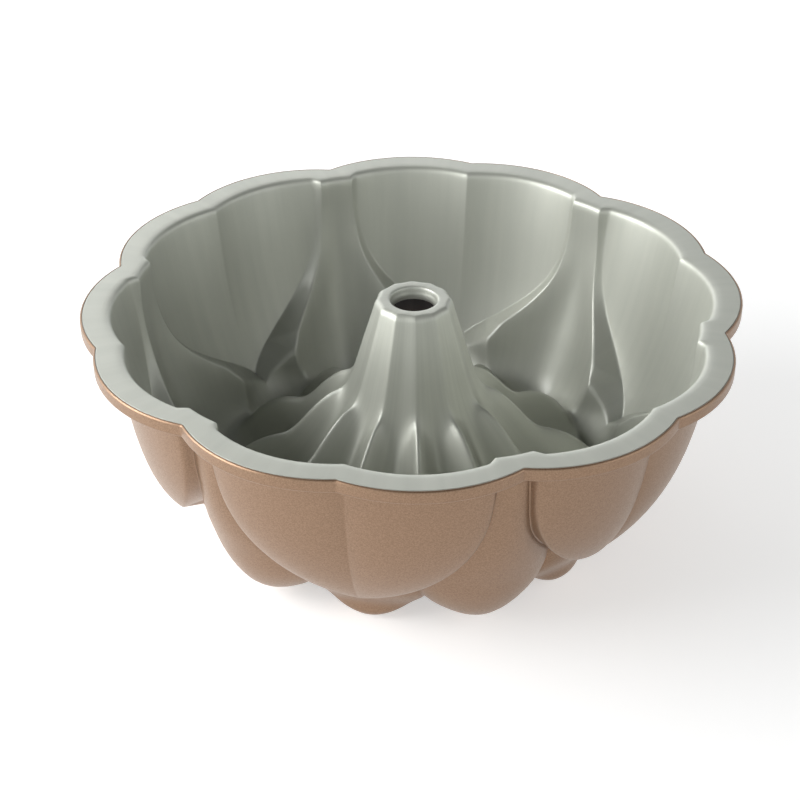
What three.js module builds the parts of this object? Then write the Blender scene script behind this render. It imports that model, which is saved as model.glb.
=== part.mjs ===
import * as THREE from 'three';

// Driving dimensions, in millimetres
const PETALS = 6;
const RIM_RADIUS = 132; // axis to the outermost point of the flange
const HEIGHT = 98; // feet to the top of the rim
const FLANGE_WIDTH = 11.9; // at a crease, from the flange's edge to the cavity
const FLANGE_DIP = 4; // how far the flange's edge draws in at a crease
const FLANGE_THICKNESS = 4.8; // at its edge
const FLANGE_ROOT = 4.7; // how far the flange's underside runs down to the wall
const RIM_BEVEL = 2.4; // between the top of the rim and the cavity
const EDGE_BEVEL = 1.2; // between the top of the rim and the flange's side
const EDGE_BAND = 2; // top of the rim that the outer coat wraps over
const WALL = 2.8; // casting and both coats together
const COAT = 0.3; // either coat, drawn thicker than it is
const GAP = 0.3; // drawn between a coat and the casting
const BORE_RADIUS = 9.4;
const BORE_TAPER = 0.7; // how much narrower the bore is at its lower end
const BORE_DEPTH = 5.6; // from the top of the tube to the roof of the hollow cone
const BORE_LIP = 0.7; // bare metal below the lining at the lower end of the bore
const ROOF_BEVEL = 1.4; // between the roof of the hollow cone and its side
const TUBE_WALL = 5; // at the top of the tube
const TUBE_BEVEL = 2.8; // round the top of the tube
const POCKET_RADIUS = 71.3; // axis to the deepest point of a pocket
const LOBE_DROP = 19.6; // from the foot of the petals down to the feet of the pan
const PETAL_LEAN = 20.7; // how far the tip of a petal stands in from its top
const PETAL_SWELL = 4.1; // how far each half of a petal bulges beside its crease
const BACK_SWELL = 3.6; // the same on the outside
const STRIP_WIDTH = 14.4; // between the feet of neighbouring petals, at the rim
const STEP_WIDTH = 2.7; // from the edge of a petal to its foot, at the rim
const STEP_DROP = 1.9; // from the tip of a petal down to its foot
const TIP_FALL = 0.6; // how far the tip of a petal draws in on the outside
const LOBE_BACKING = 1; // extra metal under a lobe, cut flat where the pan stands
const RIDGE_BACKING = 2.5; // extra metal under a crest
const VALLEY_RECESS = 0.9; // metal left out of the back of a crest beside a strip

const CAVITY_RADIUS = RIM_RADIUS - FLANGE_DIP - FLANGE_WIDTH; // at a crease
const TUBE_RADIUS = BORE_RADIUS + TUBE_WALL;
const LANDING = 0.75 * WALL; // metal left under the deepest point of a pocket
const FLOOR_DEPTH = HEIGHT - LANDING;
const FOOT_DEPTH = HEIGHT - LOBE_DROP;
const PETAL_DEPTH = FOOT_DEPTH - STEP_DROP;

const radians = (degrees) => (degrees * Math.PI) / 180;
const degreesAtRim = (length) => (length / CAVITY_RADIUS) * (180 / Math.PI);

// Angles, in degrees from the crease of a petal to the boundary with the next petal
const BOUNDARY = 180 / PETALS;
const RIDGE = BOUNDARY / 2;
const FLANGE_PEAK = 0.41 * BOUNDARY; // where the flange reaches furthest out
const FOOT_ANGLE = BOUNDARY - degreesAtRim(STRIP_WIDTH / 2);
const EDGE_ANGLE = FOOT_ANGLE - degreesAtRim(STEP_WIDTH);
const PETAL_CURL = 0.516; // share of the lean that comes in a curl towards the tip

// How full the outline of a petal and the pockets below it are, on either face of the wall
const FULL_INSIDE = {
  edge: { downPower: 3.7, acrossPower: 1.5 },
  crease: { spread: 1.2, fullness: 0.9 },
  boundary: { spread: 1.35, fullness: 0.9 },
};
const FULL_OUTSIDE = {
  edge: { downPower: 3, acrossPower: 0.82 },
  crease: { spread: 1, fullness: 0.5 },
  boundary: { spread: 1.1, fullness: 0.68 },
};
const CORNER = 0.56; // where on its outline a petal has the corner above the fork of the crest
const EDGE_SHARES = { acrossShare: 0.8, downShare: 0.1 }; // of the wall, added to it on the outside

// Lower lobes: stations from the rim to the top of the tube, under a crease, on the crest between
// two lobes and under a boundary. The first number runs from -1 at the tube over 0 at the deepest
// point of a pocket to 1 at the edge of the cavity. The second runs from 0 at the rim to 1 at the
// foot of the petals and 2 at the floor on the wall's side, and from 0 to 2 evenly on the tube's.
const UNDER_CREASE = [
  [0.79, 0], [0.75, 0.25], [0.69, 0.48], [0.6, 0.66], [0.5, 0.83], [0.402, 0.985],
  [0.23, 1.48], [0.2, 1.85], [0, 2],
];
const ON_CREST = [
  [0.926, 0], [0.908, 0.25], [0.806, 0.48], [0.636, 0.66], [0.39, 0.83], [0.304, 0.985],
  [0.22, 1.21], [0.1, 0.95], [-0.068, 1.4], [-0.213, 1.315], [-0.357, 1.275], [-0.492, 1.085],
  [-0.638, 0.91], [-0.757, 0.845], [-0.822, 0.668], [-0.9, 0.348], [-0.991, 0],
];
const UNDER_BOUNDARY = [
  [0.93, 0], [0.92, 0.25], [0.864, 0.48], [0.785, 0.66], [0.68, 0.83], [0.56, 0.985],
  [0.4, 1.55], [0.1, 1.88], [0.014, 2],
];
const POCKET_TO_TUBE = [
  [-0.167, 1.946], [-0.337, 1.76], [-0.492, 1.48], [-0.638, 1.172], [-0.762, 0.92],
  [-0.844, 0.668], [-0.917, 0.348], [-1, 0],
];
const STRIP_END = 3.65; // station where a strip ends
const FORK = 4.15; // station where the crest leaves the strip
const PETAL_TIP = 5.05; // station under the tip of a petal
const WALL_BASE = 6; // station where the wall turns into the floor
const CONE_BASE = 13; // station where the floor turns into the cone

// Angle of the crest at the stations: beside a strip it keeps to the strip, below it to the place
// half way between a crease and a boundary
const CREST_ANGLES = ON_CREST.map((station, k) => {
  const besideStrip = [1, 0.98, 0.912, 0.722];
  const belowStrip = [0.745, 0.76, 0.95];
  if (k < besideStrip.length) return FOOT_ANGLE * besideStrip[k];
  return RIDGE * (belowStrip[k - besideStrip.length] ?? 1);
});

// Angle of the valley between two lobes on the outside, which lies a little beyond the crest
const VALLEY_SHARES = [0.05, 0.05, 0.05, 0.05, 0.1, 0.16, 0.12, 0.1, 0.06, 0.03];
const VALLEY_ANGLES = CREST_ANGLES.map((angle, k) => angle + RIDGE * (VALLEY_SHARES[k] ?? 0));

// Divisions of half a petal
const PETAL_COLUMNS = [0, 0.3, 0.62, 0.86, 1];
const STRIP_COLUMNS = [0, 0.35, 0.72, 1];
const PETAL_ROWS = [0, 0.35, 0.68, 1];
const WALL_ROWS = [0, 0.5, 1];
const FLOOR_STATIONS = [7, 7.7, 8.4, 9.6, 10.9, 12.2, 13.3];
const UNDERSIDE_SHARE = 0.3; // where the flange's underside is divided, as a share of its width
const ROOF_SHARES = [0, 0.25, 0.5]; // places on the roof, from the hollow's side to the bore
const FLOOR_SOFTNESS = 0.3; // how much rounder a crest is on the floor than on the walls
const CREST_GAP = 0.1; // from the crest to the last column of a pocket, as a share of the pocket
const COLUMN_SPREAD = 0.65; // draws the columns of the floor towards the crest

const mix = (a, b, share) => a + (b - a) * share;

// Smooth curve through evenly numbered stations
function through(values, at) {
  const last = values.length - 1;
  const i = Math.min(Math.max(Math.floor(at), 0), last - 1);
  const slope = (k) => (values[Math.min(k + 1, last)] - values[Math.max(k - 1, 0)])
    / (Math.min(k + 1, last) - Math.max(k - 1, 0));
  const t = at - i;
  const rise = t * t * (3 - 2 * t);
  return mix(values[i], values[i + 1], rise)
    + t * (1 - t) * ((1 - t) * slope(i) - t * slope(i + 1));
}

// Radius and depth of a station
function stationPoint([across, down]) {
  if (across <= 0) return [mix(POCKET_RADIUS, TUBE_RADIUS, -across), (down * FLOOR_DEPTH) / 2];
  const depth = down < 1 ? down * FOOT_DEPTH : mix(FOOT_DEPTH, FLOOR_DEPTH, down - 1);
  return [mix(POCKET_RADIUS, CAVITY_RADIUS, across), depth];
}

// Stations moved out through the wall along the profile's own normal, with a backing on the floor
// and a recess beside the strips
function offsetProfile(stations, distance, backing, recess = 0) {
  const points = stations.map(stationPoint);
  const last = points.length - 1;
  const moved = points.map(([r, d], k) => {
    const before = points[Math.max(k - 1, 0)];
    const after = points[Math.min(k + 1, last)];
    const run = after[0] - before[0];
    const drop = after[1] - before[1];
    const length = Math.hypot(run, drop);
    const middle = Math.min(Math.max((k - WALL_BASE + 1) / 3, 0), Math.max((CONE_BASE - k) / 2, 0), 1);
    const beside = k < FORK ? recess : 0;
    const push = distance > 0 ? distance + backing * middle - beside : 0;
    return [r + (push * drop) / length, d - (push * run) / length];
  });
  return { radius: moved.map((p) => p[0]), depth: moved.map((p) => p[1]) };
}

// One visible face of the pan: the inside with no wall, the outside with the full wall
function makeFace(wall) {
  const isOutside = wall > 0;
  const full = isOutside ? FULL_OUTSIDE : FULL_INSIDE;
  return {
    wall,
    full,
    softness: isOutside ? 0 : FLOOR_SOFTNESS,
    top: isOutside ? FLANGE_THICKNESS + FLANGE_ROOT : RIM_BEVEL,
    swell: isOutside ? BACK_SWELL : PETAL_SWELL,
    fall: isOutside ? TIP_FALL : 0,
    edge: {
      ...full.edge,
      halfAngle: EDGE_ANGLE + degreesAtRim(EDGE_SHARES.acrossShare * wall),
      tipDepth: PETAL_DEPTH + EDGE_SHARES.downShare * wall,
    },
    turn: isOutside ? VALLEY_ANGLES : CREST_ANGLES,
    crease: offsetProfile([...UNDER_CREASE, ...POCKET_TO_TUBE], wall, LOBE_BACKING),
    crest: offsetProfile(ON_CREST, wall, RIDGE_BACKING, VALLEY_RECESS),
    boundary: offsetProfile([...UNDER_BOUNDARY, ...POCKET_TO_TUBE], wall, LOBE_BACKING),
  };
}

// Point of a petal, as angle, radius and depth: across and down run to 1 and meet on its outline
function petalPoint(face, across, down) {
  const { halfAngle, tipDepth, downPower, acrossPower } = face.edge;
  const x = across * Math.sqrt(1 - CORNER * down * down);
  const y = down * Math.sqrt(1 - (1 - CORNER) * across * across);
  const angle = halfAngle * x ** (2 * acrossPower);
  const share = y ** (2 / downPower);
  const widest = halfAngle * Math.max(1 - share ** downPower, 0) ** acrossPower;
  const beside = widest > 0 ? Math.min(angle / widest, 1) : 0;
  const depth = mix(face.top, tipDepth, share);
  const level = depth / PETAL_DEPTH;
  const crease = CAVITY_RADIUS - PETAL_LEAN * mix(level, level ** 4, PETAL_CURL);
  const swell = (face.swell * widest * 4 * beside * (1 - beside)) / halfAngle;
  return { angle, radius: crease + swell + face.wall - face.fall * level ** 5, depth };
}

// Point of the lower lobes at a station, a share of the way from the crest to the middle of a
// rounded pocket
function lobePoint(face, pocket, share, station) {
  const { spread, fullness } = face.full[pocket];
  const onFloor = Math.max(Math.min((station - WALL_BASE) / 2, (CONE_BASE - station) / 2, 1), 0);
  const rounded = Math.sin((Math.PI / 2) * share ** (spread + face.softness * onFloor)) ** fullness;
  const middle = pocket === 'crease' ? 0 : BOUNDARY;
  const between = (key) => mix(through(face.crest[key], station), through(face[pocket][key], station), rounded);
  return {
    angle: mix(through(face.turn, station), middle, share),
    radius: between('radius'),
    depth: between('depth'),
  };
}

// Station of the crest beside a strip at a depth
function stationAt(depth) {
  const depths = ON_CREST.map((station) => stationPoint(station)[1]);
  const k = depths.findIndex((here, i) => depth <= depths[i + 1]);
  return k + (depth - depths[k]) / (depths[k + 1] - depths[k]);
}

// Station on the tube of a face at a depth
function stationAtTube(face, depth) {
  let low = CONE_BASE;
  let high = ON_CREST.length - 1;
  for (let step = 0; step < 30; step += 1) {
    const middle = (low + high) / 2;
    if (through(face.boundary.depth, middle) > depth) low = middle;
    else high = middle;
  }
  return low;
}

function flangeRadius(angle) {
  const x = (angle - FLANGE_PEAK) / FLANGE_PEAK;
  return RIM_RADIUS - FLANGE_DIP * x * x;
}

// Rows of a column through a petal and the pocket below it, from the rim to the tube
function petalColumn(face, place, tubeStations) {
  const across = place ** (1 / (2 * face.edge.acrossPower));
  const rows = PETAL_ROWS.map((row) => petalPoint(face, across, row ** (face.edge.downPower / 2)));
  const first = mix(PETAL_TIP, FORK, place);
  const sideways = (place * (1 - CREST_GAP) * through(face.turn, FORK)) / through(face.turn, first);
  const onFloor = mix(1, CREST_GAP, 1 - (1 - place) ** COLUMN_SPREAD);
  for (const row of WALL_ROWS) {
    rows.push(lobePoint(face, 'crease', mix(1 - sideways, onFloor, row), mix(first, WALL_BASE, row)));
  }
  const low = [...FLOOR_STATIONS, ...tubeStations];
  return [...rows, ...low.map((station) => lobePoint(face, 'crease', onFloor, station))];
}

// Rows of a column through the strip between two petals and the pocket below it
function stripColumn(face, place, tubeStations) {
  const first = stationAt(face.top);
  const rows = PETAL_ROWS.map((row) => lobePoint(face, 'boundary', place, mix(first, STRIP_END, row)));
  const onFloor = place ** COLUMN_SPREAD;
  for (const row of WALL_ROWS) {
    rows.push(lobePoint(face, 'boundary', mix(place, onFloor, row), mix(FORK, WALL_BASE, row)));
  }
  const low = [...FLOOR_STATIONS, ...tubeStations];
  return [...rows, ...low.map((station) => lobePoint(face, 'boundary', onFloor, station))];
}

// Columns of half a petal on one face
function halfPetal(face, tubeDepths) {
  const tubeStations = tubeDepths.map((depth) => stationAtTube(face, depth));
  return [
    ...PETAL_COLUMNS.map((place) => petalColumn(face, place, tubeStations)),
    ...STRIP_COLUMNS.map((place) => stripColumn(face, place, tubeStations)),
  ];
}

// Matching rows of the inside and the outside of a column, with the flange and the tube's top
function withEnds(inner, outer) {
  const { angle, radius } = inner[0];
  const top = inner[inner.length - 1];
  const band = flangeRadius(angle) - EDGE_BAND;
  const roof = outer[outer.length - 1];
  const underside = FLANGE_THICKNESS + FLANGE_ROOT * (1 - UNDERSIDE_SHARE) ** 2;
  return {
    rimAngle: angle,
    inner: [
      { angle, radius: band, depth: 0 },
      { angle, radius: radius + RIM_BEVEL, depth: 0 },
      ...inner,
      { ...top, radius: top.radius - TUBE_BEVEL, depth: 0 },
      { ...top, radius: BORE_RADIUS, depth: 0 },
      { ...top, radius: BORE_RADIUS - BORE_TAPER, depth: BORE_DEPTH - BORE_LIP },
    ],
    outer: [
      { angle, radius: band, depth: FLANGE_THICKNESS },
      { angle, radius: mix(outer[0].radius, band, UNDERSIDE_SHARE), depth: underside },
      ...outer,
      ...ROOF_SHARES.map((share) => (
        { ...roof, radius: mix(roof.radius, BORE_RADIUS, share), depth: BORE_DEPTH }
      )),
    ],
  };
}

// A row of a column, turned into its petal
function placed(row, turn, sign) {
  const angle = radians(turn + sign * row.angle);
  return new THREE.Vector3(
    row.radius * Math.sin(angle),
    -row.radius * Math.cos(angle),
    Math.max(HEIGHT - row.depth, 0),
  );
}

// Half a petal, mirrored and repeated all the way round
function allColumns() {
  const inside = halfPetal(makeFace(0), [TUBE_BEVEL]);
  const outside = halfPetal(makeFace(WALL), [BORE_DEPTH + ROOF_BEVEL]);
  const half = inside.map((rows, k) => withEnds(rows, outside[k]));
  const columns = [];
  const place = (pair, turn, sign) => columns.push({
    inner: pair.inner.map((row) => placed(row, turn, sign)),
    outer: pair.outer.map((row) => placed(row, turn, sign)),
    onRim: (radius, depth) => placed({ angle: pair.rimAngle, radius, depth }, turn, sign),
    edge: flangeRadius(pair.rimAngle),
  });
  for (let petal = 0; petal < PETALS; petal += 1) {
    for (let k = 0; k < half.length - 1; k += 1) place(half[k], petal * 2 * BOUNDARY, 1);
    for (let k = half.length - 1; k > 0; k -= 1) place(half[k], (petal + 1) * 2 * BOUNDARY, -1);
  }
  columns.forEach((column, i) => {
    column.before = columns.at(i - 1);
    column.after = columns[(i + 1) % columns.length];
  });
  return columns;
}

// Direction of a bent line at its middle point
function alongLine(before, here, after) {
  const arriving = here.clone().sub(before).normalize();
  return after.clone().sub(here).normalize().add(arriving);
}

// Points of the rows of a column of one face at a depth into the wall
function chain(column, side, depth) {
  const rows = column[side];
  return rows.map((here, row) => {
    const around = alongLine(column.before[side][row], here, column.after[side][row]);
    const down = alongLine(rows[Math.max(row - 1, 0)], here, rows[Math.min(row + 1, rows.length - 1)]);
    const intoWall = around.cross(down).normalize().multiplyScalar(side === 'inner' ? -depth : depth);
    return { point: here.clone().add(intoWall), row };
  });
}

// Points round the flange's edge at a depth into it, from its underside to its top
function nose(column, depth) {
  const bevel = EDGE_BEVEL + depth * Math.tan(Math.PI / 8);
  return [
    column.onRim(column.edge - depth, FLANGE_THICKNESS - depth),
    column.onRim(column.edge - depth, bevel),
    column.onRim(column.edge - bevel, depth),
  ].map((point) => ({ point, row: 0 }));
}

function castingLoop(column) {
  const skin = COAT + GAP;
  return [
    ...chain(column, 'inner', skin),
    ...chain(column, 'outer', skin).reverse(),
    ...nose(column, skin),
  ];
}

function liningLoop(column) {
  return [...chain(column, 'inner', 0), ...chain(column, 'inner', COAT).reverse()];
}

function coatLoop(column) {
  const end = (depth) => ({ point: column.onRim(column.edge - EDGE_BAND + GAP, depth), row: 0 });
  return [
    ...chain(column, 'outer', COAT),
    ...chain(column, 'outer', 0).reverse(),
    ...nose(column, 0),
    end(0),
    end(COAT),
    ...nose(column, COAT).reverse(),
  ];
}

// How far a triangle is from a sliver
function plumpness(a, b, c) {
  const area = b.clone().sub(a).cross(c.clone().sub(a)).length();
  const longest = Math.max(a.distanceTo(b), b.distanceTo(c), c.distanceTo(a));
  return area / (longest * longest);
}

// Whether the cell after a row and a column is cut from the upper corner here to the lower
// corner of the next column: the same for every layer of the wall, so that they stay nested
function cutsDown(column, row) {
  const below = Math.min(row + 1, column.inner.length - 1);
  const a = column.inner[row];
  const b = column.inner[below];
  const c = column.after.inner[below];
  const d = column.after.inner[row];
  const down = Math.min(plumpness(a, b, c), plumpness(a, c, d));
  const up = Math.min(plumpness(a, b, d), plumpness(b, c, d));
  return down > up;
}

// Closed ring of closed loops
function ringMesh(name, columns, loopOf, material) {
  const loops = columns.map(loopOf);
  const length = loops[0].length;
  const positions = [];
  const index = [];
  loops.forEach((loop, i) => {
    const following = (i + 1) % loops.length;
    loop.forEach((entry, k) => {
      const after = (k + 1) % length;
      const a = i * length + k;
      const b = i * length + after;
      const c = following * length + after;
      const d = following * length + k;
      const reversed = loop[after].row < entry.row;
      const upper = Math.min(entry.row, loop[after].row);
      positions.push(entry.point.x, entry.point.y, entry.point.z);
      if (cutsDown(columns[i], upper) !== reversed) index.push(a, c, b, a, d, c);
      else index.push(a, d, b, b, d, c);
    });
  });
  const geometry = new THREE.BufferGeometry();
  geometry.setAttribute('position', new THREE.Float32BufferAttribute(positions, 3));
  geometry.setIndex(index);
  geometry.computeVertexNormals();
  const mesh = new THREE.Mesh(geometry, material);
  mesh.name = name;
  return mesh;
}

const bareAluminium = new THREE.MeshStandardMaterial({ color: 0xc4c6c8, metalness: 0.9, roughness: 0.4 });
const greyNonstick = new THREE.MeshStandardMaterial({ color: 0x9ca098, metalness: 0.6, roughness: 0.4 });
const toffeePaint = new THREE.MeshStandardMaterial({ color: 0xa58470, metalness: 0.6, roughness: 0.45 });
bareAluminium.name = 'bare_aluminium';
greyNonstick.name = 'grey_nonstick';
toffeePaint.name = 'toffee_paint';

const columns = allColumns();
const pan = new THREE.Group();
pan.name = 'fluted_tube_pan';
pan.add(ringMesh('pan_casting', columns, castingLoop, bareAluminium));
pan.add(ringMesh('inner_nonstick_lining', columns, liningLoop, greyNonstick));
pan.add(ringMesh('outer_metallic_coat', columns, coatLoop, toffeePaint));

export default pan;
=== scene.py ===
import math

import bpy
import numpy as np
from mathutils import Matrix, Vector


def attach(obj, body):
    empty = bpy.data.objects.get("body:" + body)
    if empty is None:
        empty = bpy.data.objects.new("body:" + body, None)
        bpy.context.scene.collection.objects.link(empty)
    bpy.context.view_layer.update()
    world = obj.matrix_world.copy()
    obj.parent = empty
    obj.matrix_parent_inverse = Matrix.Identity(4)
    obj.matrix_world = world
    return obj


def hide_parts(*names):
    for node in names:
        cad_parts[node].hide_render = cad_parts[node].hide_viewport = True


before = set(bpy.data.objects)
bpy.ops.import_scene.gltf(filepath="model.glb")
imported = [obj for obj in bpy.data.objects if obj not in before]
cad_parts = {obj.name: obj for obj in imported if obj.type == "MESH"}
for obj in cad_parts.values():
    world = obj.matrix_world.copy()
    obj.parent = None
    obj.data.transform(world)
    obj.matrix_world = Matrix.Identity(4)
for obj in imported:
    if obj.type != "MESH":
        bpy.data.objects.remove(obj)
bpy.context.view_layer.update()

MM = 0.001

# Rim and flange, in millimetres
PETALS = 6
RIM_RADIUS = 132  # the flange's edge where it stands out most
HEIGHT = 98
FLANGE_WIDTH = 11.9  # at the crease of a petal
FLANGE_DIP = 4  # how far the flange's edge draws in at a crease
FLANGE_THICKNESS = 5.2
FLANGE_ROOT = 1.8  # how much lower the flange's underside meets the wall
RIM_ROUND = 2.4  # inner edge of the rim's top
EDGE_ROUND = 1.1  # outer edge of the rim's top
LOWER_ROUND = 0.4  # lower edge of the flange

# Wall and coats
WALL = 2.8
COAT = 0.4
SKIN_GAP = 0.05  # between a coat and the casting
COAT_SEAM = 0.3  # between the two coats on the rim's top
LANDING_WALL = 0.75 * WALL  # metal left where a lobe is cut flat to stand on
LOBE_BACKING = 1  # more wall under the lobes
RIDGE_BACKING = 2.5  # more wall under the crests of the floor
PETAL_BACKING = 0.8  # more wall behind the petals
VALLEY_RECESS = 1.2  # less wall in the valleys beside the petals
LOBE_RECESS = 0.8  # less wall in the strips and just under the petals

# Tube
BORE_RADIUS = 9.4
BORE_DEPTH = 5.6  # from the tube's top to the hollow of the cone
BORE_TAPER = 0.7
BORE_ROUND = 0.25
BORE_LIP = 1.2  # depth of the rounded mouth of the bore
TUBE_WALL = 5
TUBE_ROUND = 2.8
ROOF_ROUND = 0.5  # corner at the top of the hollow

# Petals and lobes
POCKET_RADIUS = 71.3  # deepest point of the lobes
LOBE_DROP = 19.6  # from the foot of the petals to the surface the pan stands on
PETAL_LEAN = 20.7  # how far a petal's crease leans in from the rim to the tip
PETAL_SWELL = 4.1  # bulge between the crease and the edge, inside
BACK_SWELL = 3.6  # the same outside
TIP_FALL = 2.5  # how far the back of a petal's tip falls in
STRIP_WIDTH = 14.4  # strip between two petals, at the rim
STEP_WIDTH = 2.7  # step from a petal's edge to the strip
STEP_DROP = 1.9  # step from a petal's tip to its foot

# Sizes that follow from these
CAVITY_RADIUS = RIM_RADIUS - FLANGE_DIP - FLANGE_WIDTH
TUBE_RADIUS = BORE_RADIUS + TUBE_WALL
FLOOR_DEPTH = HEIGHT - LANDING_WALL
FOOT_DEPTH = HEIGHT - LOBE_DROP
PETAL_DEPTH = FOOT_DEPTH - STEP_DROP

# Angles, in degrees from the crease of a petal to the boundary with the next petal
BOUNDARY = 180 / PETALS
RIDGE = BOUNDARY / 2
FLANGE_PEAK = 0.41 * BOUNDARY
FOOT_ANGLE = BOUNDARY - math.degrees(STRIP_WIDTH / 2 / CAVITY_RADIUS)
EDGE_ANGLE = FOOT_ANGLE - math.degrees(STEP_WIDTH / CAVITY_RADIUS)

# Form of a petal
PETAL_CURL = 0.516  # share of its lean that comes late
CURL_POWER = 4  # how late that is
FALL_POWER = 5  # how late the back of its tip falls in
BACK_ROUNDNESS = 0.75  # power of the bulge outside, where 1 is a parabola
TIP_FLATNESS = 1.6  # power by which the bulge inside fades towards the tip
CORNER = 0.56  # where on its outline it has the corner above the fork of a crest
EDGE_WIDENING = 0.8  # how much wider its outline is outside, as a share of the wall
EDGE_LIFT = 0.35  # how much shorter its outline is outside, as a share of the wall

# How full the outline of a petal and the lobes under a crease and a boundary are, as two powers each
FULL_INSIDE = {"edge": (3.7, 1.5), "crease": (1.2, 0.9), "boundary": (1.35, 0.9)}
FULL_OUTSIDE = {"edge": (3.0, 0.82), "crease": (1, 0.5), "boundary": (1.1, 0.68)}

# Lower lobes: stations from the rim to the top of the tube, under a crease, on the crest
# between two lobes and under a boundary. The first number runs from -1 at the tube over 0 at
# the deepest point of a pocket to 1 at the cavity's edge. The second runs from 0 at the rim to
# 1 at the foot of the petals and 2 at the floor on the wall's side, and from 0 to 2 evenly on
# the tube's side.
UNDER_CREASE = [
    (0.79, 0), (0.75, 0.25), (0.69, 0.48), (0.6, 0.66), (0.5, 0.83), (0.402, 0.985),
    (0.23, 1.48), (0.2, 1.85), (0, 2),
]
ON_CREST = [
    (0.926, 0), (0.908, 0.25), (0.806, 0.48), (0.636, 0.66), (0.39, 0.83), (0.304, 0.985),
    (0.22, 1.21), (0.1, 0.95), (-0.068, 1.4), (-0.213, 1.315), (-0.357, 1.275), (-0.492, 1.085),
    (-0.638, 0.91), (-0.757, 0.845), (-0.822, 0.668), (-0.9, 0.348), (-0.991, 0),
]
UNDER_BOUNDARY = [
    (0.93, 0), (0.92, 0.25), (0.864, 0.48), (0.785, 0.66), (0.68, 0.83), (0.56, 0.985),
    (0.4, 1.55), (0.1, 1.88), (0.014, 2),
]
POCKET_TO_TUBE = [
    (-0.167, 1.946), (-0.337, 1.76), (-0.492, 1.48), (-0.638, 1.172), (-0.762, 0.92),
    (-0.844, 0.668), (-0.917, 0.348), (-1, 0),
]

# Places along the stations, counted from the rim
STRIP_END = 3.65
FORK = 4.15
PETAL_TIP = 5.05
WALL_BASE = 6
CONE_BASE = 13
TUBE_END = 15.75

# The extra wall under the lobes comes in and goes out over these stations
BACKING_START = WALL_BASE - 1
BACKING_RISE = 3
BACKING_FALL = 2

# Angle of the crest at the stations: beside a strip it leans on the strip's width, below it on
# the place half way between a crease and a boundary
CREST_ANGLES = [FOOT_ANGLE * share for share in (1, 0.98, 0.912, 0.722)]
CREST_ANGLES += [RIDGE * share for share in (0.745, 0.76, 0.95)]
CREST_ANGLES += [RIDGE] * (len(ON_CREST) - len(CREST_ANGLES))

# Angle of the valley between two lobes on the outside, which lies a little beyond the crest
VALLEY_SHARES = [0.05, 0.05, 0.05, 0.05, 0.1, 0.16, 0.12, 0.1, 0.06, 0.03]
VALLEY_SHARES += [0] * (len(ON_CREST) - len(VALLEY_SHARES))
VALLEY_ANGLES = [angle + RIDGE * share for angle, share in zip(CREST_ANGLES, VALLEY_SHARES)]

# Divisions of half a petal, closer together beside edges so that they stay crisp
PETAL_COLUMNS = [0, 0.015, 0.06, 0.16, 0.3, 0.45, 0.6, 0.74, 0.85, 0.93, 0.975, 1]
STRIP_COLUMNS = [0, 0.05, 0.14, 0.28, 0.46, 0.65, 0.84, 1]
FLANGE_ROWS = [0, 0.06, 0.2, 0.6, 1]
UNDERSIDE_ROWS = [0.15, 0.4, 0.7, 0.9]
PETAL_ROWS = [0, 0.05, 0.13, 0.22, 0.33, 0.45, 0.57, 0.68, 0.78, 0.87, 0.94, 0.98, 1]
STEP_ROWS = [0.12, 0.4, 0.75]
WALL_ROWS = [0, 0.2, 0.45, 0.72, 1]
FLOOR_STATIONS = [
    6.4, 6.8, 7.2, 7.6, 8, 8.4, 8.8, 9.3, 9.8, 10.4, 11, 11.6, 12.2, 12.8, 13.4, 14.2, 15,
]

# How near the last column of a petal comes to the crest beside its pocket, as a share of the pocket
CREST_GAP = 0.03  # at the foot of the petal
FLOOR_GAP = 0.13  # on the floor, inside
VALLEY_GAP = 0.05  # on the floor, outside

# The floor's pockets
FLOOR_SPREAD = 0.65  # power by which the columns spread towards the crests
FLOOR_SOFTNESS = 0.15  # how much softer the pockets are on the floor, inside
SOFTNESS_RISE = 2  # stations over which that comes in

HALVINGS = 30  # steps of the search for the top of the hollow


def mix(a, b, share):
    return a + (b - a) * share


def clamped(share):
    return min(max(share, 0), 1)


def through(values, at):
    """Smooth curve through evenly numbered stations."""
    last = len(values) - 1
    i = min(max(int(math.floor(at)), 0), last - 1)

    def slope(k):
        low, high = max(k - 1, 0), min(k + 1, last)
        return (values[high] - values[low]) / (high - low)

    t = at - i
    rise = t * t * (3 - 2 * t)
    return mix(values[i], values[i + 1], rise) + t * (1 - t) * ((1 - t) * slope(i) - t * slope(i + 1))


def station_point(station):
    """Radius and depth of a station."""
    across, down = station
    if across <= 0:
        return mix(POCKET_RADIUS, TUBE_RADIUS, -across), down * FLOOR_DEPTH / 2
    depth = down * FOOT_DEPTH if down < 1 else mix(FOOT_DEPTH, FLOOR_DEPTH, down - 1)
    return mix(POCKET_RADIUS, CAVITY_RADIUS, across), depth


def offset_profile(stations, wall, backing, recess, reach):
    """Radius and depth of the stations, moved out through the wall along the profile's normal.

    The wall is thinner by the recess before the station that it reaches to.
    """
    points = [station_point(station) for station in stations]
    last = len(points) - 1
    radius, depth = [], []
    for k, (r, d) in enumerate(points):
        before, after = points[max(k - 1, 0)], points[min(k + 1, last)]
        run, drop = after[0] - before[0], after[1] - before[1]
        length = math.hypot(run, drop)
        backed = clamped(min((k - BACKING_START) / BACKING_RISE, (CONE_BASE - k) / BACKING_FALL))
        thinner = recess if k < reach else 0
        push = wall + backing * backed - thinner if wall else 0
        radius.append(r + push * drop / length)
        depth.append(d - push * run / length)
    return radius, depth


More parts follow.
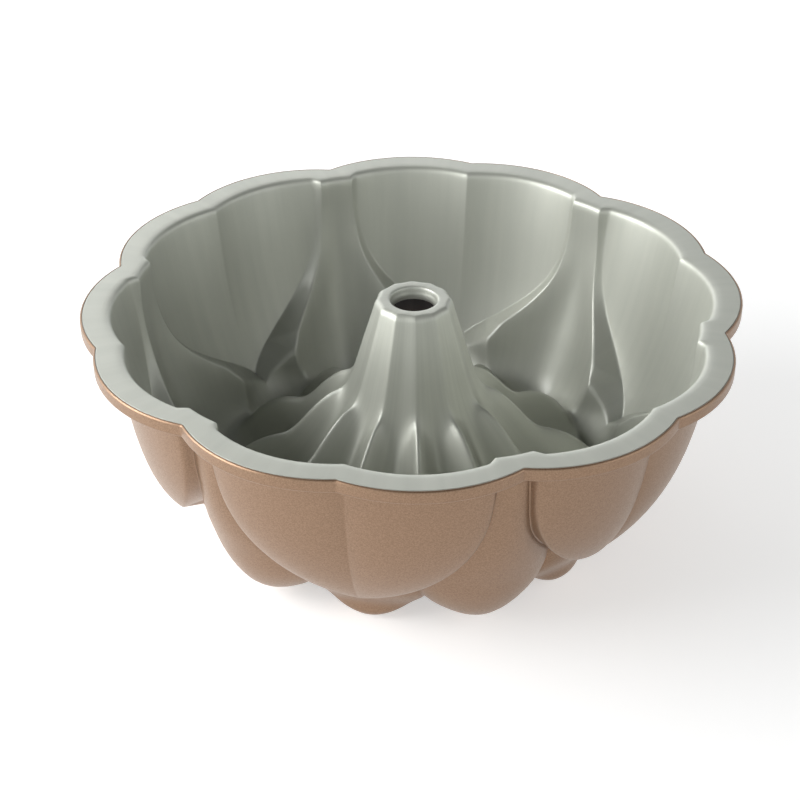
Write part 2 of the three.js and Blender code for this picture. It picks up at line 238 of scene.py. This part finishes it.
def make_face(wall, full, turn, **form):
    """One visible face of the pan: its profiles, the wall's thickness out from the inside."""
    widening = math.degrees(EDGE_WIDENING * wall / CAVITY_RADIUS)
    under_boundary = UNDER_BOUNDARY + POCKET_TO_TUBE
    return {
        "full": full,
        "turn": turn,
        "edge": (EDGE_ANGLE + widening, PETAL_DEPTH - EDGE_LIFT * wall, *full["edge"]),
        "crease": offset_profile(UNDER_CREASE + POCKET_TO_TUBE, wall, LOBE_BACKING, LOBE_RECESS, WALL_BASE),
        "crest": offset_profile(ON_CREST, wall, RIDGE_BACKING, VALLEY_RECESS, FORK),
        "boundary": offset_profile(under_boundary, wall, LOBE_BACKING, LOBE_RECESS, FORK),
        **form,
    }


def inside_face():
    return make_face(
        0, FULL_INSIDE, CREST_ANGLES,
        top=RIM_ROUND, floor=FLOOR_STATIONS + [TUBE_END], gap=FLOOR_GAP, softness=FLOOR_SOFTNESS,
        petal_wall=0, swell=PETAL_SWELL, roundness=1, flatness=TIP_FLATNESS,
        fall=0,
    )


def outside_face():
    return make_face(
        WALL, FULL_OUTSIDE, VALLEY_ANGLES,
        top=FLANGE_THICKNESS + FLANGE_ROOT, floor=FLOOR_STATIONS, gap=VALLEY_GAP, softness=0,
        petal_wall=WALL + PETAL_BACKING, swell=BACK_SWELL, roundness=BACK_ROUNDNESS, flatness=0,
        fall=TIP_FALL,
    )


def on_outline(outline, across, down):
    """Angle and depth of a petal outline; across and down run to 1 and meet on the curve."""
    width, depth, down_power, across_power = outline
    x = across * math.sqrt(1 - CORNER * down * down)
    y = down * math.sqrt(1 - (1 - CORNER) * across * across)
    return width * x ** (2 * across_power), depth * y ** (2 / down_power)


def petal_point(face, across, down):
    """Angle, radius and depth of a point of a petal."""
    edge_width, edge_depth, down_power, across_power = face["edge"]
    angle, depth = on_outline(face["edge"], across, down)
    share = depth / edge_depth
    width = edge_width * max(1 - share ** down_power, 0) ** across_power
    x = min(angle / width, 1) if width > 0 else 0
    sunk = mix(face["top"], edge_depth, share)
    level = sunk / PETAL_DEPTH
    crease = CAVITY_RADIUS - PETAL_LEAN * mix(level, level ** CURL_POWER, PETAL_CURL)
    swell = face["swell"] * width * (4 * x * (1 - x)) ** face["roundness"] / edge_width
    swell *= max(1 - level, 0) ** face["flatness"]
    return angle, crease + swell + face["petal_wall"] - face["fall"] * level ** FALL_POWER, sunk


def lobe_point(face, pocket, share, station):
    """Radius and depth a share of the way from a crest to the middle of a rounded pocket."""
    spread, fullness = face["full"][pocket]
    on_floor = min(station - WALL_BASE, CONE_BASE - station)
    spread += face["softness"] * clamped(on_floor / SOFTNESS_RISE)
    rounded = math.sin(math.pi / 2 * share ** spread) ** fullness
    radius = mix(through(face["crest"][0], station), through(face[pocket][0], station), rounded)
    depth = mix(through(face["crest"][1], station), through(face[pocket][1], station), rounded)
    return radius, depth


def station_at(depth):
    """Number of the wall station at a depth."""
    depths = [station_point(station)[1] for station in ON_CREST]
    for k, (here, below) in enumerate(zip(depths, depths[1:])):
        if depth <= below:
            return k + (depth - here) / (below - here)


def station_at_tube(face, depth):
    """Number of the station on the tube at a depth, by halving."""
    low, high = CONE_BASE, len(ON_CREST) - 1
    for _ in range(HALVINGS):
        middle = (low + high) / 2
        if through(face["boundary"][1], middle) > depth:
            low = middle
        else:
            high = middle
    return low


def flange_radius(angle):
    x = (angle - FLANGE_PEAK) / FLANGE_PEAK
    return RIM_RADIUS - FLANGE_DIP * x * x


def below_crest(face, pocket, share, station):
    """Angle, radius and depth a share of the way from the crest to the middle of a pocket."""
    crest = through(face["turn"], station)
    middle = 0 if pocket == "crease" else BOUNDARY
    return mix(crest, middle, share), *lobe_point(face, pocket, share, station)


def column_below(face, pocket, shares, first):
    """Rows of a column from a station of the wall down to the floor, over it and up the tube."""
    stations = [mix(first, WALL_BASE, row) for row in WALL_ROWS]
    wall = [below_crest(face, pocket, *pair) for pair in zip(shares, stations)]
    return wall + [below_crest(face, pocket, shares[-1], station) for station in face["floor"]]


def stepped(upper, lower):
    """Rows of a column with the step between its upper and its lower part."""
    step = [tuple(mix(a, b, row) for a, b in zip(upper[-1], lower[0])) for row in STEP_ROWS]
    return upper + step + lower


def petal_column(face, place):
    """Rows of a column through a petal and the pocket below it, as angle, radius and depth."""
    down_power, across_power = face["full"]["edge"]
    across = place ** (1 / (2 * across_power))
    rows = [petal_point(face, across, row ** (down_power / 2)) for row in PETAL_ROWS]
    first = mix(PETAL_TIP, FORK, place)
    on_floor = mix(1, face["gap"], 1 - (1 - place) ** FLOOR_SPREAD)
    at_foot = 1 - place * (1 - CREST_GAP) * through(face["turn"], FORK) / through(face["turn"], first)
    shares = [mix(at_foot, on_floor, row) for row in WALL_ROWS]
    return stepped(rows, column_below(face, "crease", shares, first))


def strip_column(face, place):
    """Rows of a column through the strip between two petals and the pocket below it."""
    first = station_at(face["top"])
    rows = [below_crest(face, "boundary", place, mix(first, STRIP_END, row)) for row in PETAL_ROWS]
    shares = [mix(place, place ** FLOOR_SPREAD, row) for row in WALL_ROWS]
    return stepped(rows, column_below(face, "boundary", shares, FORK))


def half_petal(face):
    """Columns from the crease of a petal to the boundary."""
    petal = [petal_column(face, place) for place in PETAL_COLUMNS]
    return petal + [strip_column(face, place) for place in STRIP_COLUMNS]


def with_inside_ends(rows):
    """Rows of an inside column, from the flange's top to the lower end of the bore."""
    rim, tube = rows[0], rows[-1]
    edge = flange_radius(rim[0]) - EDGE_ROUND
    flat = rim[1] + RIM_ROUND
    start = [(mix(edge, flat, row), 0) for row in FLANGE_ROWS]
    start.append((rim[1] + 0.25 * RIM_ROUND, 0.25 * RIM_ROUND))
    crown = tube[1] - TUBE_ROUND
    low_bore = BORE_RADIUS - BORE_TAPER
    end = [
        (mix(crown, tube[1], 0.8), 0.5 * TUBE_ROUND),
        (mix(crown, tube[1], 0.3), 0),
        (mix(crown, BORE_RADIUS, 0.1), 0),
        (mix(crown, BORE_RADIUS, 0.7), 0),
        (BORE_RADIUS + BORE_ROUND, 0.8 * BORE_ROUND),
        (BORE_RADIUS, BORE_LIP),
        (mix(BORE_RADIUS, low_bore, 0.3), BORE_DEPTH * 0.45),
        (mix(BORE_RADIUS, low_bore, 0.8), BORE_DEPTH * 0.55),
        (low_bore, BORE_DEPTH - COAT),
    ]
    return [(rim[0], *point) for point in start] + rows + [(tube[0], *point) for point in end]


def with_outside_ends(rows, roof):
    """Rows of an outside column, from the flange's top edge to the roof of the hollow cone."""
    rim, tube = rows[0], rows[-1]
    edge = flange_radius(rim[0])
    low_edge = edge - LOWER_ROUND
    start = [
        (edge - EDGE_ROUND + COAT_SEAM, 0),
        (edge - 0.45 * EDGE_ROUND, 0),
        (edge, 0.45 * EDGE_ROUND),
        (edge, 1.1 * EDGE_ROUND),
        (edge, FLANGE_THICKNESS - 3.5 * LOWER_ROUND),
        (edge, FLANGE_THICKNESS - LOWER_ROUND),
        (low_edge, FLANGE_THICKNESS),
    ]
    start += [
        (mix(low_edge, rim[1], row), FLANGE_THICKNESS + FLANGE_ROOT * row * row) for row in UNDERSIDE_ROWS
    ]
    end = [
        (roof + 0.6 * ROOF_ROUND, BORE_DEPTH + 4 * ROOF_ROUND),
        (roof, BORE_DEPTH + 0.8 * ROOF_ROUND),
        (roof - ROOF_ROUND, BORE_DEPTH),
        (BORE_RADIUS - BORE_TAPER + COAT, BORE_DEPTH),
    ]
    return [(rim[0], *point) for point in start] + rows + [(tube[0], *point) for point in end]


def all_round(half):
    """Columns of half a petal, mirrored and repeated all the way round, as an array of rows by columns."""
    half = np.array(half)
    count = len(half)
    columns = []
    for petal in range(PETALS):
        start = petal * 2 * BOUNDARY
        order = [(k, start, 1) for k in range(count - 1)]
        order += [(k, start + 2 * BOUNDARY, -1) for k in range(count - 1, 0, -1)]
        for k, turn, sign in order:
            angle = np.radians(turn + sign * half[k][:, 0])
            radius = half[k][:, 1]
            z = np.maximum(HEIGHT - half[k][:, 2], 0)
            columns.append(np.stack([radius * np.sin(angle), -radius * np.cos(angle), z], axis=1))
    return np.stack(columns, axis=1) * MM


def doubled(points, closed):
    """Cubic subdivision along the first axis."""
    if closed:
        before, after = np.roll(points, 1, axis=0), np.roll(points, -1, axis=0)
    else:
        before = np.concatenate([2 * points[:1] - points[1:2], points[:-1]])
        after = np.concatenate([points[1:], 2 * points[-1:] - points[-2:-1]])
    kept = (before + 6 * points + after) / 8
    between = (points + after) / 2
    merged = np.stack([kept, between], axis=1).reshape(-1, *points.shape[1:])
    return merged if closed else merged[:-1]


def rounded_grid(grid):
    """The grid with twice the rows and columns, its edges rounded."""
    grid = doubled(grid, closed=False)
    return doubled(grid.swapaxes(0, 1), closed=True).swapaxes(0, 1)


def moved_along_normal(grid, distance):
    """The grid moved along its normals, by millimetres."""
    along = np.gradient(grid, axis=0)
    around = np.roll(grid, -1, axis=1) - np.roll(grid, 1, axis=1)
    normal = np.cross(around, along)
    normal /= np.maximum(np.linalg.norm(normal, axis=2, keepdims=True), 1e-12)
    return grid + normal * distance * MM


def shell(name, front, back):
    """Closed ring between two faces that have the same columns."""
    grid = np.concatenate([front, back[::-1]])
    rows, columns = grid.shape[:2]
    here = np.arange(rows * columns).reshape(rows, columns)
    below = np.roll(here, -1, axis=0)
    beside = np.roll(here, -1, axis=1)
    corner = np.roll(below, -1, axis=1)
    faces = np.stack([here, below, corner, beside], axis=2).reshape(-1, 4)
    mesh = bpy.data.meshes.new(name)
    mesh.from_pydata(grid.reshape(-1, 3).tolist(), [], faces.tolist())
    mesh.polygons.foreach_set("use_smooth", [True] * len(mesh.polygons))
    mesh.update()
    return placed(name, mesh)


def placed(name, data):
    """New object of the scene."""
    made = bpy.data.objects.new(name, data)
    bpy.context.scene.collection.objects.link(made)
    return made


def add_node(tree, kind, inputs, **settings):
    """New node with its settings, and its inputs linked or set."""
    made = tree.nodes.new(kind)
    for key, value in settings.items():
        setattr(made, key, value)
    for key, value in inputs.items():
        if isinstance(value, bpy.types.NodeSocket):
            tree.links.new(value, made.inputs[key])
        else:
            made.inputs[key].default_value = value
    return made


def new_material(name):
    made = bpy.data.materials.new(name)
    made.use_nodes = True
    return made, made.node_tree, made.node_tree.nodes["Principled BSDF"]


def object_place(tree):
    return tree.nodes.new("ShaderNodeTexCoord").outputs["Object"]


def math_node(tree, operation, first, second):
    return add_node(tree, "ShaderNodeMath", {0: first, 1: second}, operation=operation).outputs[0]


def vector_node(tree, operation, inputs):
    return add_node(tree, "ShaderNodeVectorMath", inputs, operation=operation).outputs


def noise(tree, place, size):
    """Noise with cells of about the given size in millimetres."""
    inputs = {"Vector": place, "Scale": 1 / (size * MM), "Detail": 2}
    return add_node(tree, "ShaderNodeTexNoise", inputs).outputs["Fac"]


def ranged(tree, value, low, high, start=0.25, end=0.75):
    """Value from start to end brought to low to high."""
    inputs = {"Value": value, "From Min": start, "From Max": end, "To Min": low, "To Max": high}
    return add_node(tree, "ShaderNodeMapRange", inputs).outputs["Result"]


def blended(tree, share, first, second):
    """Colour between two colours; the node's sockets 6, 7 and 2 are those for colours."""
    inputs = {0: share, 6: (*first, 1), 7: (*second, 1)}
    return add_node(tree, "ShaderNodeMix", inputs, data_type="RGBA").outputs[2]


def off_axis(tree, place):
    """Place with its height left out."""
    return vector_node(tree, "MULTIPLY", {0: place, 1: (1, 1, 0)})[0]


def down_streaks(tree, place, width, length):
    """Noise drawn out down the walls, with streaks of about the given size in millimetres."""
    outward = vector_node(tree, "NORMALIZE", {0: off_axis(tree, place)})[0]
    spread = vector_node(tree, "SCALE", {0: outward, "Scale": CAVITY_RADIUS / width})[0]
    drop = (0, 0, 1 / (length * MM))
    stretched = vector_node(tree, "MULTIPLY_ADD", {0: place, 1: drop, 2: spread})[0]
    inputs = {"Vector": stretched, "Scale": 1, "Detail": 3}
    return add_node(tree, "ShaderNodeTexNoise", inputs).outputs["Fac"]


def bumped(tree, shader, height, strength, distance):
    inputs = {"Height": height, "Strength": strength, "Distance": distance * MM}
    tree.links.new(add_node(tree, "ShaderNodeBump", inputs).outputs["Normal"], shader.inputs["Normal"])


def lining_finish():
    """Satin grey non-stick coat with a fine grain and faint streaks down the walls."""
    made, tree, shader = new_material("grey_nonstick_finish")
    place = object_place(tree)
    streaks = down_streaks(tree, place, width=5, length=60)
    dark, pale = (0.455, 0.465, 0.415), (0.485, 0.495, 0.44)
    tree.links.new(blended(tree, ranged(tree, streaks, 0, 1), dark, pale), shader.inputs["Base Color"])
    tree.links.new(ranged(tree, streaks, 0.56, 0.5), shader.inputs["Roughness"])
    shader.inputs["Metallic"].default_value = 0.6
    shader.inputs["Coat Weight"].default_value = 0.6
    shader.inputs["Coat Roughness"].default_value = 0.25
    bumped(tree, shader, noise(tree, place, size=0.6), strength=0.12, distance=0.03)
    return made


def coat_finish():
    """Toffee paint with metal flakes, and painted shade that darkens it up inside the tube."""
    made, tree, shader = new_material("toffee_paint_finish")
    place = object_place(tree)
    flake_size = 0.35
    cells = add_node(tree, "ShaderNodeTexVoronoi", {"Vector": place, "Scale": 1 / (flake_size * MM)})
    flake = add_node(tree, "ShaderNodeSeparateColor", {0: cells.outputs["Color"]}).outputs[0]
    dark, pale = (0.25, 0.153, 0.093), (0.32, 0.204, 0.13)
    paint = blended(tree, flake, dark, pale)
    # Painted shade: the paint darkens towards the axis, up inside the tube's hollow
    radius = vector_node(tree, "LENGTH", {0: off_axis(tree, place)})["Value"]
    painted_tube_shade = ranged(tree, radius, 0.03, 1, TUBE_RADIUS * MM, 3 * TUBE_RADIUS * MM)
    colour = vector_node(tree, "SCALE", {0: paint, "Scale": painted_tube_shade})[0]
    tree.links.new(colour, shader.inputs["Base Color"])
    tree.links.new(ranged(tree, flake, 0.46, 0.36, 0, 1), shader.inputs["Roughness"])
    shader.inputs["Metallic"].default_value = 0.75
    shader.inputs["Coat Weight"].default_value = 0.25
    shader.inputs["Coat Roughness"].default_value = 0.3
    bumped(tree, shader, noise(tree, place, size=0.5), strength=0.12, distance=0.04)
    return made


def casting_finish():
    """Dull as-cast aluminium."""
    made, tree, shader = new_material("bare_aluminium_finish")
    grain = noise(tree, object_place(tree), size=0.8)
    dark, pale = (0.34, 0.34, 0.34), (0.46, 0.46, 0.45)
    tree.links.new(blended(tree, ranged(tree, grain, 0, 1), dark, pale), shader.inputs["Base Color"])
    tree.links.new(ranged(tree, grain, 0.5, 0.65), shader.inputs["Roughness"])
    shader.inputs["Metallic"].default_value = 0.9
    bumped(tree, shader, grain, strength=0.3, distance=0.05)
    return made


def floor_finish():
    """Pale floor that looks lit up to white, also in reflections, with the shadow kept."""
    made, tree, shader = new_material("floor_white")
    shader.inputs["Base Color"].default_value = (0.78, 0.78, 0.78, 1)
    shader.inputs["Roughness"].default_value = 0.8
    shader.inputs["Specular IOR Level"].default_value = 0.1
    shader.inputs["Emission Color"].default_value = (1, 1, 1, 1)
    rays = tree.nodes.new("ShaderNodeLightPath").outputs
    mirrored = math_node(tree, "MAXIMUM", rays["Is Glossy Ray"], rays["Is Transmission Ray"])
    seen = math_node(tree, "MAXIMUM", rays["Is Camera Ray"], mirrored)
    tree.links.new(math_node(tree, "MULTIPLY", seen, FLOOR_LIFT), shader.inputs["Emission Strength"])
    return made


# Pan: two visible faces, a coat under each, and the casting between the coats
inside = rounded_grid(all_round([with_inside_ends(rows) for rows in half_petal(inside_face())]))
outer_face = outside_face()
hollow_roof = through(outer_face["boundary"][0], station_at_tube(outer_face, BORE_DEPTH))
outside = rounded_grid(all_round([with_outside_ends(rows, hollow_roof) for rows in half_petal(outer_face)]))

lining = shell("lining_skin", moved_along_normal(inside, -COAT), inside)
coat = shell("coat_skin", outside, moved_along_normal(outside, COAT))
casting = shell(
    "casting_core",
    moved_along_normal(outside, COAT + SKIN_GAP),
    moved_along_normal(inside, -COAT - SKIN_GAP),
)
lining.data.materials.append(lining_finish())
coat.data.materials.append(coat_finish())
casting.data.materials.append(casting_finish())
for piece, node, slot in (
    (casting, "pan_casting", "bare_aluminium"),
    (lining, "inner_nonstick_lining", "grey_nonstick"),
    (coat, "outer_metallic_coat", "toffee_paint"),
):
    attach(piece, "root")
    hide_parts(node)

# Floor, in metres, and how much of its white is not from the lamps
FLOOR_REACH = 3
FLOOR_LIFT = 0.48
floor_corners = [(x * FLOOR_REACH, y * FLOOR_REACH, 0) for x, y in ((-1, -1), (1, -1), (1, 1), (-1, 1))]
floor_mesh = bpy.data.meshes.new("floor")
floor_mesh.from_pydata(floor_corners, [], [(0, 1, 2, 3)])
floor_mesh.materials.append(floor_finish())
floor = placed("floor", floor_mesh)

# Camera, at the photograph's angle; lengths in metres, lens and sensor in millimetres
CAMERA_AZIMUTH = math.radians(12.31)
CAMERA_ELEVATION = math.radians(32.96)
CAMERA_ROLL = math.radians(0.17)
CAMERA_DISTANCE = 0.7368
CAMERA_LENS = 80.28
CAMERA_SENSOR = 36
TARGET_HEIGHT = 0.0497
TARGET_LEFT = 0.0054
right = Vector((math.cos(CAMERA_AZIMUTH), math.sin(CAMERA_AZIMUTH), 0))
back = Vector((
    math.sin(CAMERA_AZIMUTH) * math.cos(CAMERA_ELEVATION),
    -math.cos(CAMERA_AZIMUTH) * math.cos(CAMERA_ELEVATION),
    math.sin(CAMERA_ELEVATION),
))
target = Vector((0, 0, TARGET_HEIGHT)) - right * TARGET_LEFT
camera = bpy.data.cameras.new("camera")
camera.sensor_width = CAMERA_SENSOR
camera.lens = CAMERA_LENS
camera.clip_start = 0.01
camera_object = placed("camera", camera)
facing = Matrix((right, back.cross(right), back)).transposed().to_4x4()
camera_object.matrix_world = (
    Matrix.Translation(target + back * CAMERA_DISTANCE) @ facing @ Matrix.Rotation(CAMERA_ROLL, 4, "Z")
)
bpy.context.scene.camera = camera_object

# Light from all round: a bright horizon under a dark ceiling, which comes lower on the right
HORIZON_LIGHT = 1.1
CEILING_LIGHT = 0.09
HORIZON_TOP = 0.3
CEILING_START = 0.7
CEILING_TILT = 0.15
world = bpy.data.worlds.new("studio")
world.use_nodes = True
bpy.context.scene.world = world
sky = world.node_tree
background = sky.nodes["Background"]
background.inputs["Color"].default_value = (0.97, 1, 1, 1)
direction = sky.nodes.new("ShaderNodeTexCoord").outputs["Generated"]
toward = add_node(sky, "ShaderNodeSeparateXYZ", {0: direction}).outputs
height = math_node(sky, "ADD", toward["Z"], math_node(sky, "MULTIPLY", toward["X"], CEILING_TILT))
glow = ranged(sky, height, HORIZON_LIGHT, CEILING_LIGHT, HORIZON_TOP, CEILING_START)
sky.links.new(glow, background.inputs["Strength"])

# Soft lamps, in metres and watts, aimed at the middle of the pan
LAMP_TARGET = Vector((0, 0, 0.05))


def softbox(name, place, size, power):
    lamp = bpy.data.lights.new(name, "AREA")
    lamp.size = size
    lamp.energy = power
    holder = placed(name, lamp)
    holder.location = place
    aim = LAMP_TARGET - Vector(place)
    holder.rotation_euler = aim.to_track_quat("-Z", "Y").to_euler()


softbox("left_softbox", place=(-1.06, -0.42, 0.53), size=1.0, power=20)
softbox("back_left_softbox", place=(-0.8, 0.7, 0.6), size=0.8, power=2)
softbox("back_softbox", place=(-0.3, 1.0, 0.65), size=0.8, power=1.4)
softbox("right_softbox", place=(1.0, -0.2, 0.45), size=0.8, power=2)
bpy.context.scene.view_settings.view_transform = "Standard"
